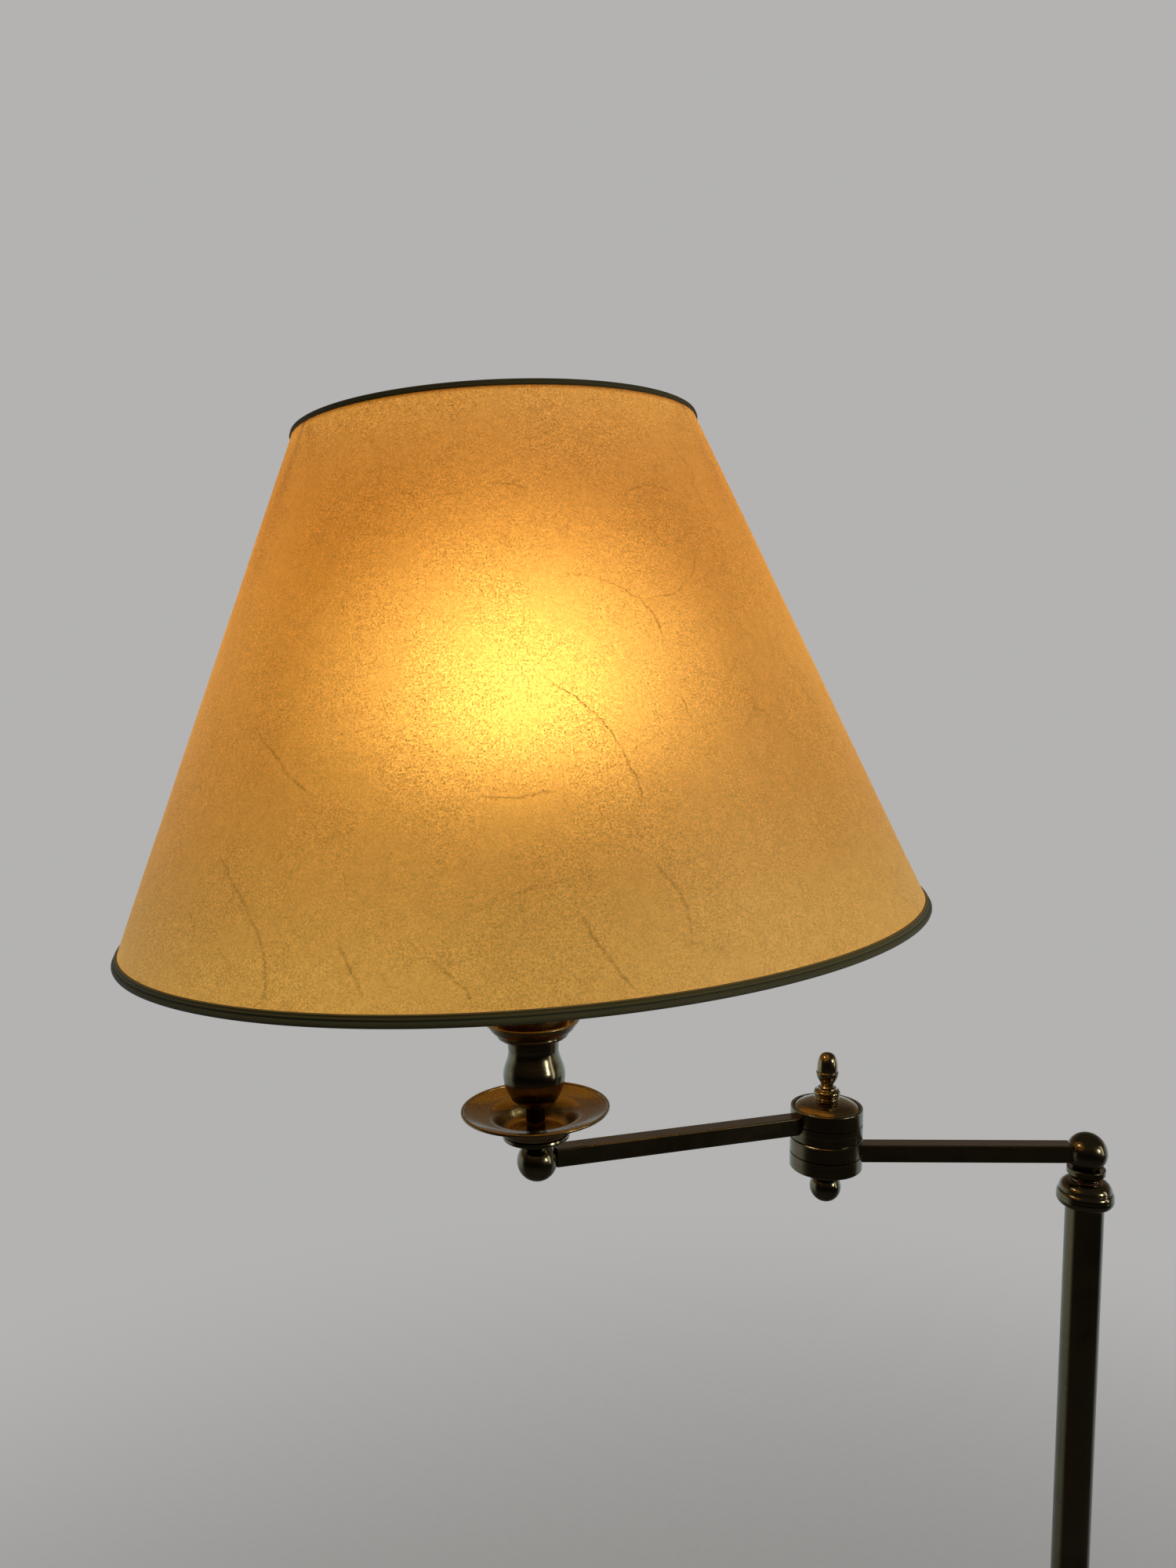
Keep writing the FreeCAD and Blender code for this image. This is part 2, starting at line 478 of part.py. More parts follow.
# lead from the elbow through the outer arm and up the stem
u = V(-math.cos(math.radians(OUTER_TURN)), -math.sin(math.radians(OUTER_TURN)), 0)
up_end = head(Part.Vertex(V(0, 0, 84.0 + LIFT))).Point
e0 = V(DX, 0, zc + 13.6)
add('lead_outer_arm', lead([tuple(e0), (DX, 0, zc + zo), tuple(HEAD), tuple(up_end)], 5.0, LEAD_R, 'lead_outer_arm'))

for name, shape in parts.items():
    solids = shape.Solids
    assert len(solids) == (3 if name == 'shade_spokes' else 1), (name, len(solids))
    (shape if len(solids) > 1 else solids[0]).exportStep('parts/%s.step' % name)
print(len(parts), 'parts')
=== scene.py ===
import bpy
import math
import numpy as np
from mathutils import Matrix, Vector, noise


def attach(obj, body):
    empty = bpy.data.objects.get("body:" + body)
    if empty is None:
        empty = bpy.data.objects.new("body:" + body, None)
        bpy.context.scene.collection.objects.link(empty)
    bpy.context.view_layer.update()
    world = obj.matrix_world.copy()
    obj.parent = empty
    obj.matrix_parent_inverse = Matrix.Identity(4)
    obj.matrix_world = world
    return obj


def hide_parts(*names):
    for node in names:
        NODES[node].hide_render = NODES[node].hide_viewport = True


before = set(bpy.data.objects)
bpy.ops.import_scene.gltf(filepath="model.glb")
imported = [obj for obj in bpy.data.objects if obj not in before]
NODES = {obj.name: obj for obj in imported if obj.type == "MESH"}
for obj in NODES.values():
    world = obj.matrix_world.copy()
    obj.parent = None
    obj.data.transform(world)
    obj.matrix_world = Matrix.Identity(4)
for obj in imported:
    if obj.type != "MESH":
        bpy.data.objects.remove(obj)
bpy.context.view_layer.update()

# ---------------------------------------------------------------- places, in metres, as in the CAD frame
COLUMN = Matrix.Identity(4)
DRUM = Matrix.Translation((-0.1554, 0.0, 1.08))
SWING = DRUM @ Matrix.Rotation(math.radians(18.35), 4, "Z")
HEAD_P = Vector((-0.32501, -0.05626, 1.0988))
HEAD = Matrix.Translation(HEAD_P) @ Matrix.Rotation(math.radians(-1.69), 4, "Y")
HUB_P = HEAD @ Vector((0, 0, 0.183)) + Vector((-0.0018, 0, 0))
SHADE = Matrix.Translation(HUB_P) @ Matrix.Rotation(math.radians(-3.53), 4, "Y")
S0, S1, RB, RT = -0.0444, 0.2087, 0.2081, 0.1025     # the paper's edges along the shade's axis, and its outer radii
PAPER_T = 0.0007
SLOPE = (RT - RB) / (S1 - S0)
SIN_G = abs(SLOPE) / math.hypot(1, SLOPE)            # sine of the cone's half angle
BULB = HEAD @ Vector((0, 0, 0.268))


def radius(s):
    return RB + SLOPE * (s - S0)


# ---------------------------------------------------------------- camera
pitch, yaw = math.radians(5.39), math.radians(0.59)
cam_data = bpy.data.cameras.new("camera")
cam_data.sensor_fit = "AUTO"
cam_data.sensor_width = 36.0
cam_data.lens = 27.04
cam_data.clip_start, cam_data.clip_end = 0.02, 60.0
camera = bpy.data.objects.new("camera", cam_data)
bpy.context.scene.collection.objects.link(camera)
camera.location = (-0.2906, -0.6820, 1.3644)
camera.rotation_euler = (math.radians(90) - pitch, 0, yaw)
bpy.context.scene.camera = camera


# ---------------------------------------------------------------- node helper
class Mat:
    """A node tree with short calls. Values may be numbers, sockets or nodes."""

    def __init__(self, name=None, tree=None):
        if tree is None:
            self.m = bpy.data.materials.new(name)
            self.m.use_nodes = True
            tree = self.m.node_tree
            tree.nodes.clear()
            self.out = tree.nodes.new("ShaderNodeOutputMaterial")
        self.t = tree

    def put(self, sock, v):
        if isinstance(v, bpy.types.NodeSocket):
            self.t.links.new(v, sock)
        elif isinstance(v, bpy.types.Node):
            self.t.links.new(v.outputs[0], sock)
        elif isinstance(v, (tuple, list)) and len(v) == 3 and sock.type == "RGBA":
            sock.default_value = (*v, 1.0)
        else:
            sock.default_value = v

    def add(self, kind, ins=None, **props):
        n = self.t.nodes.new(kind)
        for k, v in props.items():
            setattr(n, k, v)
        for k, v in (ins or {}).items():
            self.put(n.inputs[k], v)
        return n

    def math(self, op, a, b=None, c=None, clamp=False):
        n = self.t.nodes.new("ShaderNodeMath")
        n.operation, n.use_clamp = op, clamp
        for i, v in enumerate((a, b, c)):
            if v is not None:
                self.put(n.inputs[i], v)
        return n.outputs[0]

    def mix(self, fac, a, b, blend="MIX"):
        n = self.t.nodes.new("ShaderNodeMix")
        n.data_type, n.blend_type, n.clamp_factor = "RGBA", blend, True
        self.put(n.inputs[0], fac)
        self.put(n.inputs[6], a)
        self.put(n.inputs[7], b)
        return n.outputs[2]

    def fmix(self, fac, a, b):
        n = self.t.nodes.new("ShaderNodeMix")
        n.data_type = "FLOAT"
        self.put(n.inputs[0], fac)
        self.put(n.inputs[2], a)
        self.put(n.inputs[3], b)
        return n.outputs[0]

    def ramp(self, v, a, b, c=0.0, d=1.0, smooth=True):
        """v from a..b becomes c..d, clamped."""
        n = self.t.nodes.new("ShaderNodeMapRange")
        n.interpolation_type = "SMOOTHSTEP" if smooth else "LINEAR"
        n.clamp = True
        for i, x in enumerate((v, a, b, c, d)):
            self.put(n.inputs[i], x)
        return n.outputs[0]

    def noise(self, vec, scale, detail=2.0, rough=0.5, distortion=0.0, lac=2.0):
        n = self.add("ShaderNodeTexNoise", {"Scale": scale, "Detail": detail, "Roughness": rough,
                                           "Distortion": distortion, "Lacunarity": lac})
        self.put(n.inputs["Vector"], vec)
        return n.outputs["Fac"]

    def noise1(self, w, scale, detail=1.0, rough=0.5):
        n = self.add("ShaderNodeTexNoise", None, noise_dimensions="1D")
        for k, v in (("W", w), ("Scale", scale), ("Detail", detail), ("Roughness", rough)):
            self.put(n.inputs[k], v)
        return n.outputs["Fac"]

    def voronoi(self, vec, scale, feature="F1", rand=1.0, out="Distance"):
        n = self.add("ShaderNodeTexVoronoi", None, feature=feature)
        self.put(n.inputs["Vector"], vec)
        self.put(n.inputs["Scale"], scale)
        self.put(n.inputs["Randomness"], rand)
        return n.outputs[out]

    def xyz(self, v):
        n = self.add("ShaderNodeSeparateXYZ", {0: v})
        return n.outputs[0], n.outputs[1], n.outputs[2]

    def vec(self, x, y, z):
        return self.add("ShaderNodeCombineXYZ", {0: x, 1: y, 2: z}).outputs[0]

    def vmath(self, op, a, b=None, scale=None):
        n = self.t.nodes.new("ShaderNodeVectorMath")
        n.operation = op
        self.put(n.inputs[0], a)
        if b is not None:
            self.put(n.inputs[1], b)
        if scale is not None:
            self.put(n.inputs["Scale"], scale)
        return n.outputs["Value"] if op in ("LENGTH", "DOT_PRODUCT", "DISTANCE") else n.outputs[0]

    def place(self, world=None):
        """Object coordinates, seen from the frame given."""
        c = self.add("ShaderNodeTexCoord").outputs["Object"]
        if world is None or world == Matrix.Identity(4):
            return c
        inv = world.inverted()
        n = self.add("ShaderNodeMapping", {"Vector": c})
        n.inputs["Location"].default_value = inv.translation
        n.inputs["Rotation"].default_value = inv.to_euler("XYZ")
        return n.outputs[0]

    def bump(self, height, distance, strength=1.0, normal=None):
        n = self.add("ShaderNodeBump", {"Height": height, "Distance": distance, "Strength": strength})
        if normal is not None:
            self.put(n.inputs["Normal"], normal)
        return n.outputs[0]

    def principled(self, **k):
        n = self.t.nodes.new("ShaderNodeBsdfPrincipled")
        for key, v in k.items():
            self.put(n.inputs[key.replace("_", " ")], v)
        return n

    def done(self, shader):
        self.put(self.out.inputs["Surface"], shader)
        return self.m


# ---------------------------------------------------------------- brass
def brass(name, world=None, dark=(0.045, 0.028, 0.012), mid=(0.17, 0.105, 0.038), light=(0.42, 0.27, 0.10),
          rough=0.20, rings=1.0, coarse=1.0, patina=0.5, aniso=0.0, along=None, warm=0.0):
    """Antique brass. rings: lathe marks round the frame's axis. along: brushed lengthwise instead, as on the arms."""
    b = Mat(name)
    p = b.place(world)
    x, y, z = b.xyz(p)
    r = b.math("SQRT", b.math("ADD", b.math("MULTIPLY", x, x), b.math("MULTIPLY", y, y)))
    if along is None:
        w = b.math("ADD", z, b.math("MULTIPLY", r, 0.83))
        fine = b.noise1(w, 2300.0, 2.0, 0.6)
        band = b.noise1(w, 420.0, 2.0, 0.55)
    else:
        q = b.add("ShaderNodeMapping", {"Vector": p})
        q.inputs["Scale"].default_value = along
        fine = b.noise(q.outputs[0], 1500.0, 3.0, 0.6)
        band = b.noise(q.outputs[0], 260.0, 2.0, 0.5)
    cloud = b.noise(p, 42.0, 5.0, 0.62, 0.4)
    grain = b.noise(p, 900.0, 4.0, 0.65)
    specks = b.ramp(b.noise(p, 520.0, 3.0, 0.7), 0.66, 0.78)
    tarnish = b.ramp(cloud, 0.62 - 0.35 * patina, 0.86 - 0.25 * patina)
    tone = b.math("ADD", b.math("MULTIPLY", b.math("SUBTRACT", cloud, 0.5), 0.9),
                  b.math("ADD", b.math("MULTIPLY", b.math("SUBTRACT", band, 0.5), 0.35 * coarse),
                         b.math("MULTIPLY", b.math("SUBTRACT", grain, 0.5), 0.25)))
    tone = b.math("ADD", tone, 0.42, clamp=True)
    col = b.mix(b.ramp(tone, 0.0, 0.5, smooth=False), dark, mid)
    col = b.mix(b.ramp(tone, 0.5, 1.0, smooth=False), col, light)
    col = b.mix(b.math("MULTIPLY", tarnish, 0.55), col, (0.030, 0.022, 0.012))
    col = b.mix(b.math("MULTIPLY", specks, 0.28), col, (0.022, 0.018, 0.010))
    ro = b.math("ADD", rough, b.math("MULTIPLY", b.math("SUBTRACT", grain, 0.5), 0.10))
    ro = b.math("ADD", ro, b.math("MULTIPLY", tarnish, 0.12))
    ro = b.math("ADD", ro, b.math("MULTIPLY", b.math("SUBTRACT", fine, 0.5), 0.10 * rings), clamp=True)
    h = b.math("ADD", b.math("MULTIPLY", fine, 0.6 * rings), b.math("MULTIPLY", band, 1.0 * coarse))
    h = b.math("ADD", h, b.math("MULTIPLY", grain, 0.10))
    nrm = b.bump(h, 0.00002, 0.55)
    s = b.principled(Base_Color=col, Metallic=1.0, Roughness=ro, Normal=nrm, Coat_Weight=0.45, Coat_Roughness=0.07,
                     Coat_IOR=1.45)
    if aniso:
        s.inputs["Anisotropic"].default_value = aniso
        tan = b.add("ShaderNodeTangent", None, direction_type="RADIAL", axis="Z")
        b.put(s.inputs["Tangent"], tan)
    return b.done(s)


def paint(node, mat):
    o = NODES[node]
    o.data.materials.clear()
    o.data.materials.append(mat)
    for poly in o.data.polygons:
        poly.material_index = 0


TONES = dict(dark=(0.054, 0.042, 0.020), mid=(0.18, 0.138, 0.065), light=(0.43, 0.34, 0.18))
m_column = brass("brass_column", COLUMN, rough=0.16, rings=0.3, coarse=0.25, patina=0.35, **TONES)
m_turned = brass("brass_turned_column", COLUMN, rough=0.15, rings=0.8, coarse=0.6, aniso=0.35, **TONES)
m_drum_low = brass("brass_drum_lower", DRUM, rough=0.21, rings=1.6, coarse=1.2, aniso=0.45, **TONES)
m_drum_up = brass("brass_drum_upper", SWING, rough=0.21, rings=1.6, coarse=1.2, aniso=0.45, **TONES)
m_finial = brass("brass_finial", SWING, rough=0.17, rings=1.0, coarse=0.6, patina=0.25,
                 dark=(0.10, 0.071, 0.034), mid=(0.30, 0.215, 0.095), light=(0.56, 0.42, 0.20))
m_cap = brass("brass_cap", SWING, rough=0.24, rings=1.8, coarse=1.2, patina=0.25, aniso=0.4,
              dark=(0.12, 0.080, 0.030), mid=(0.32, 0.22, 0.080), light=(0.56, 0.39, 0.15))
m_head = brass("brass_head", HEAD, rough=0.15, rings=0.9, coarse=0.7, aniso=0.35, **TONES)
m_pan = brass("brass_pan", HEAD, rough=0.26, rings=1.5, coarse=1.0, aniso=0.3, patina=0.35,
              dark=(0.10, 0.062, 0.020), mid=(0.28, 0.185, 0.058), light=(0.48, 0.32, 0.11))
m_base = brass("brass_base", COLUMN, rough=0.20, rings=1.6, coarse=1.2, aniso=0.35, **TONES)
m_arm_in = brass("brass_arm_inner", COLUMN, rough=0.27, rings=0.35, coarse=0.30, along=(0.04, 1.0, 1.0), **TONES)
m_arm_out = brass("brass_arm_outer", SWING, rough=0.27, rings=0.35, coarse=0.30, along=(0.04, 1.0, 1.0), **TONES)

for n in ("column_tube",):
    paint(n, m_column)
for n in ("column_collar", "column_ball", "foot_collar"):
    paint(n, m_turned)
for n in ("lower_barrel", "lower_barrel_plate"):
    paint(n, m_drum_low)
paint("ball_nut", brass("brass_ball_nut", DRUM, rough=0.14, rings=0.8, coarse=0.6, aniso=0.35, **TONES))
paint("upper_barrel", m_drum_up)
paint("barrel_cap", m_cap)
for n in ("finial_collar", "acorn_finial"):
    paint(n, m_finial)
for n in ("head_ball", "pan_seat", "vase", "vase_ring", "stem"):
    paint(n, m_head)
for n in ("drip_pan", "holder_cup", "holder_tube"):
    paint(n, m_pan)
paint("base_cover", m_base)
paint("inner_arm_tube", m_arm_in)
paint("outer_arm_tube", m_arm_out)


# ---------------------------------------------------------------- other hardware
def simple(name, colour, rough, metal=0.0, vary=0.15, scale=400.0, bump=0.00003, coat=0.0, coat_rough=0.1, second=None):
    b = Mat(name)
    p = b.place()
    a = b.noise(p, scale, 4.0, 0.6)
    c = b.noise(p, 60.0, 4.0, 0.6)
    t = b.math("ADD", b.math("MULTIPLY", a, 0.5), b.math("MULTIPLY", c, 0.5))
    lo = tuple(v * (1 - vary) for v in colour)
    hi = second or tuple(min(v * (1 + vary), 1.0) for v in colour)
    col = b.mix(b.ramp(t, 0.3, 0.7), lo, hi)
    ro = b.math("ADD", rough, b.math("MULTIPLY", b.math("SUBTRACT", a, 0.5), 0.18), clamp=True)
    s = b.principled(Base_Color=col, Metallic=metal, Roughness=ro, Normal=b.bump(a, bump, 0.5))
    s.inputs["Coat Weight"].default_value = coat
    s.inputs["Coat Roughness"].default_value = coat_rough
    return b.done(s)


m_steel = simple("zinc_steel", (0.62, 0.62, 0.60), 0.32, 1.0)
m_raw = simple("raw_brass", (0.72, 0.52, 0.22), 0.28, 1.0)
m_iron = simple("cast_iron", (0.10, 0.10, 0.10), 0.75, 0.6, 0.3, 300.0, 0.0002)
m_fibre = simple("red_fibre", (0.30, 0.07, 0.05), 0.7)
m_rubber = simple("black_rubber", (0.020, 0.020, 0.020), 0.6)
m_lead = simple("lead_sheath", (0.50, 0.40, 0.18), 0.45)
m_phenolic = simple("black_phenolic", (0.016, 0.013, 0.011), 0.26, 0.0, 0.3, 900.0, 0.00002, 0.4, 0.12)
m_porcelain = simple("porcelain", (0.85, 0.83, 0.78), 0.12, 0.0, 0.05, 200.0, 0.00002, 0.6, 0.05)
m_capmetal = simple("cap_metal", (0.78, 0.78, 0.76), 0.25, 1.0)
m_wire = simple("cream_wire", (0.74, 0.69, 0.58), 0.38, 0.0, 0.12, 700.0, 0.00004, 0.3, 0.15)
for n, m in (("base_washer", m_steel), ("base_nut", m_steel), ("tie_rod", m_steel), ("elbow_pivot", m_steel),
             ("pivot_nut", m_steel), ("finial_stud", m_steel), ("stem_nut", m_steel), ("swivel_grub_screw", m_steel),
             ("pivot_washer", m_fibre), ("barrel_washer", m_fibre), ("column_washer", m_fibre),
             ("column_spigot", m_raw), ("screw_shell", m_raw), ("centre_contact", m_raw), ("base_weight", m_iron),
             ("flex_grommet", m_rubber), ("lead_column", m_lead), ("lead_inner_arm", m_lead), ("lead_outer_arm", m_lead),
             ("lampholder_base", m_phenolic), ("lampholder_skirt", m_phenolic), ("ring_nut_lower", m_phenolic),
             ("ring_nut_upper", m_phenolic), ("lampholder_insulator", m_porcelain), ("bulb_cap", m_capmetal),
             ("shade_hub", m_wire), ("shade_spokes", m_wire), ("shade_top_ring", m_wire), ("shade_bottom_ring", m_wire)):
    paint(n, m)


def felt():
    b = Mat("green_felt")
    p = b.place()
    fuzz = b.noise(p, 1400.0, 6.0, 0.75, 1.5)
    cloud = b.noise(p, 90.0, 4.0, 0.6)
    col = b.mix(b.ramp(b.math("ADD", b.math("MULTIPLY", fuzz, 0.6), b.math("MULTIPLY", cloud, 0.4)), 0.35, 0.65),
                (0.012, 0.030, 0.016), (0.030, 0.062, 0.034))
    s = b.principled(Base_Color=col, Roughness=0.95, Normal=b.bump(fuzz, 0.0003, 0.7))
    s.inputs["Sheen Weight"].default_value = 0.4
    s.inputs["Sheen Roughness"].default_value = 0.5
    return b.done(s)


paint("base_felt", felt())


def opal():
    """Frosted globe, lit."""
    b = Mat("opal_globe")
    p = b.place(HEAD)
    x, y, z = b.xyz(p)
    up = b.ramp(z, 0.198, 0.235)
    soft = b.noise(p, 120.0, 3.0, 0.5)
    col = b.mix(up, (1.0, 0.62, 0.28), (1.0, 0.84, 0.58))
    col = b.mix(b.math("MULTIPLY", b.ramp(soft, 0.3, 0.8), 0.10), col, (1.0, 0.70, 0.40))
    strength = b.fmix(up, 2.2, 7.0)
    s = b.principled(Base_Color=(0.92, 0.90, 0.86), Roughness=b.fmix(soft, 0.22, 0.38))
    b.put(s.inputs["Emission Color"], col)
    b.put(s.inputs["Emission Strength"], strength)
    m = b.done(s)
    m.cycles.emission_sampling = "NONE"
    return m


paint("bulb_globe", opal())
NODES["bulb_globe"].visible_shadow = False


# ---------------------------------------------------------------- parchment shade
# Folds in the paper, in its flat pattern: millimetres, the cone's apex at 0,0, the front generator along -Y.
FOLDS = [
    ((25.8, -406.1), (54.1, -435.6), 0.075, 0.30, 1.00),
    ((53.6, -434.6), (61.2, -458.5), 0.06, 0.34, 0.70),
    ((35.4, -358.3), (67.9, -366.6), 0.05, 0.32, 0.45),
    ((67.4, -366.2), (76.9, -383.9), 0.05, 0.30, 0.75),
    ((67.9, -366.6), (93.9, -351.6), -0.10, 0.32, 0.40),
    ((93.6, -352.0), (99.5, -338.8), -0.06, 0.30, 0.40),
    ((-4.7, -454.7), (27.7, -454.3), 0.03, 0.36, 0.55),
    ((82.9, -408.9), (86.4, -420.7), 0.02, 0.30, 0.45),
    ((-107.3, -406.3), (-73.2, -445.9), -0.03, 0.55, 0.45),
    ((-122.8, -462.4), (-95.3, -504.9), 0.04, 0.60, 0.42),
    ((-95.3, -504.5), (-92.8, -525.4), 0.08, 0.60, 0.48),
    ((-59.8, -507.6), (-48.8, -529.5), 0.05, 0.60, 0.45),
    ((35.0, -502.1), (53.8, -530.8), -0.07, 0.60, 0.55),
    ((64.8, -483.1), (77.2, -514.8), 0.12, 0.60, 0.42),
    ((-21.5, -515.4), (-7.8, -533.0), 0.05, 0.55, 0.38),
    ((3.5, -316.4), (21.9, -319.4), 0.06, 0.40, 0.42),
    ((-36.2, -314.8), (-27.5, -319.7), 0.10, 0.40, 0.40),
    ((-14.1, -321.2), (-6.1, -320.5), 0.02, 0.40, 0.34),
    ((65.0, -316.5), (92.5, -307.5), 0.10, 0.40, 0.40),
    ((-70.5, -264.5), (-61.5, -273.4), -0.12, 0.40, 0.34),
    ((3.1, -496.8), (29.7, -487.7), 0.06, 0.50, 0.30),
]


def flat_point(phi, s):
    """Flat pattern of the cone: phi is the azimuth from the front generator, towards +X."""
    rho = radius(s) / SIN_G
    return rho * math.sin(SIN_G * phi), -rho * math.cos(SIN_G * phi)


def ripple(phi, s):
    """How far the paper stands off the true cone."""
    u, v = flat_point(phi, s)
    e = min(max((s - S0) / 0.02, 0), max((S1 - s) / 0.02, 0), 1.0)
    big = noise.noise(Vector((u * 14.0, v * 14.0, 3.1)))
    mid = noise.noise(Vector((u * 45.0, v * 45.0, 8.7)))
    small = noise.noise(Vector((u * 120.0, v * 120.0, 1.3)))
    return e * (0.00026 * big + 0.00010 * mid + 0.00005 * small)


def mesh_object(name, verts, faces, mat, smooth=True, uvs=None):
    me = bpy.data.meshes.new(name)
    me.from_pydata([tuple(v) for v in verts], [], faces)
    if uvs is not None:
        layer = me.uv_layers.new(name="flat")
        layer.data.foreach_set("uv", np.array(uvs, np.float32).ravel())
    me.materials.append(mat)
    me.validate()
    if smooth:
        me.polygons.foreach_set("use_smooth", [True] * len(me.polygons))
    me.update()
    o = bpy.data.objects.new(name, me)
    bpy.context.scene.collection.objects.link(o)
    return o


def build_paper(mat):
    """The cone as one closed sheet: a fine outer face that ripples, a plainer inner one, and both edges."""
    nu, nv, ni = 560, 126, 24
    cut = math.radians(162.0) - 2 * math.pi
    phis = [cut + 2 * math.pi * i / nu for i in range(nu)]
    verts, faces, uvs = [], [], []

    def grid(n, off):
        first = len(verts)
        for j in range(n + 1):
            s = S0 + (S1 - S0) * j / n
            for phi in phis:
                rr = radius(s) + ripple(phi, s) - off
                verts.append((rr * math.sin(phi), -rr * math.cos(phi), s))
        return first

    def quad(a, b, c, d, i, sa, sb, flip):
        p0, p1 = cut + 2 * math.pi * i / nu, cut + 2 * math.pi * (i + 1) / nu
        q = [(a, p0, sa), (b, p1, sa), (c, p1, sb), (d, p0, sb)]
        if flip:
            q.reverse()
        faces.append([t[0] for t in q])
        uvs.extend(flat_point(t[1], t[2]) for t in q)

    outer = grid(nv, 0.0)
    inner = grid(ni, PAPER_T)
    for n, first, flip in ((nv, outer, False), (ni, inner, True)):
        for j in range(n):
            sa, sb = S0 + (S1 - S0) * j / n, S0 + (S1 - S0) * (j + 1) / n
            for i in range(nu):
                k = (i + 1) % nu
                quad(first + j * nu + i, first + j * nu + k, first + (j + 1) * nu + k, first + (j + 1) * nu + i, i, sa, sb, flip)
    for jo, ji, s, flip in ((0, 0, S0, True), (nv, ni, S1, False)):
        for i in range(nu):
            k = (i + 1) % nu
            quad(outer + jo * nu + i, outer + jo * nu + k, inner + ji * nu + k, inner + ji * nu + i, i, s, s, flip)
    o = mesh_object("parchment_cone", verts, faces, mat, True, uvs)
    o.data.transform(SHADE)
    return o


def fold_group():
    """One fold: how near the point is to a slightly bowed line, faded towards its ends."""
    g = bpy.data.node_groups.new("fold", "ShaderNodeTree")
    for name, kind in (("P", "NodeSocketVector"), ("A", "NodeSocketVector"), ("Dir", "NodeSocketVector"),
                       ("Length", "NodeSocketFloat"), ("Sag", "NodeSocketFloat"), ("Width", "NodeSocketFloat"),
                       ("Strength", "NodeSocketFloat")):
        g.interface.new_socket(name=name, in_out="INPUT", socket_type=kind)
    g.interface.new_socket(name="Fold", in_out="OUTPUT", socket_type="NodeSocketFloat")
    b = Mat(tree=g)
    gi, go = g.nodes.new("NodeGroupInput"), g.nodes.new("NodeGroupOutput")
    rel = b.vmath("SUBTRACT", gi.outputs["P"], gi.outputs["A"])
    t = b.math("DIVIDE", b.vmath("DOT_PRODUCT", rel, gi.outputs["Dir"]), gi.outputs["Length"])
    dx, dy, dz = b.xyz(gi.outputs["Dir"])
    side = b.vec(b.math("MULTIPLY", dy, -1.0), dx, 0.0)
    d = b.vmath("DOT_PRODUCT", rel, side)
    bow = b.math("MULTIPLY", b.math("MULTIPLY", t, b.math("SUBTRACT", 1.0, t)),
                 b.math("MULTIPLY", b.math("MULTIPLY", gi.outputs["Sag"], 4.0), gi.outputs["Length"]))
    d = b.math("ABSOLUTE", b.math("SUBTRACT", d, bow))
    line = b.ramp(b.math("DIVIDE", d, gi.outputs["Width"]), 0.0, 1.0, 1.0, 0.0)
    ends = b.math("MULTIPLY", b.ramp(t, -0.06, 0.12), b.ramp(t, 0.86, 1.06, 1.0, 0.0))
    b.put(go.inputs[0], b.math("MULTIPLY", b.math("MULTIPLY", line, ends), gi.outputs["Strength"]))
    return g


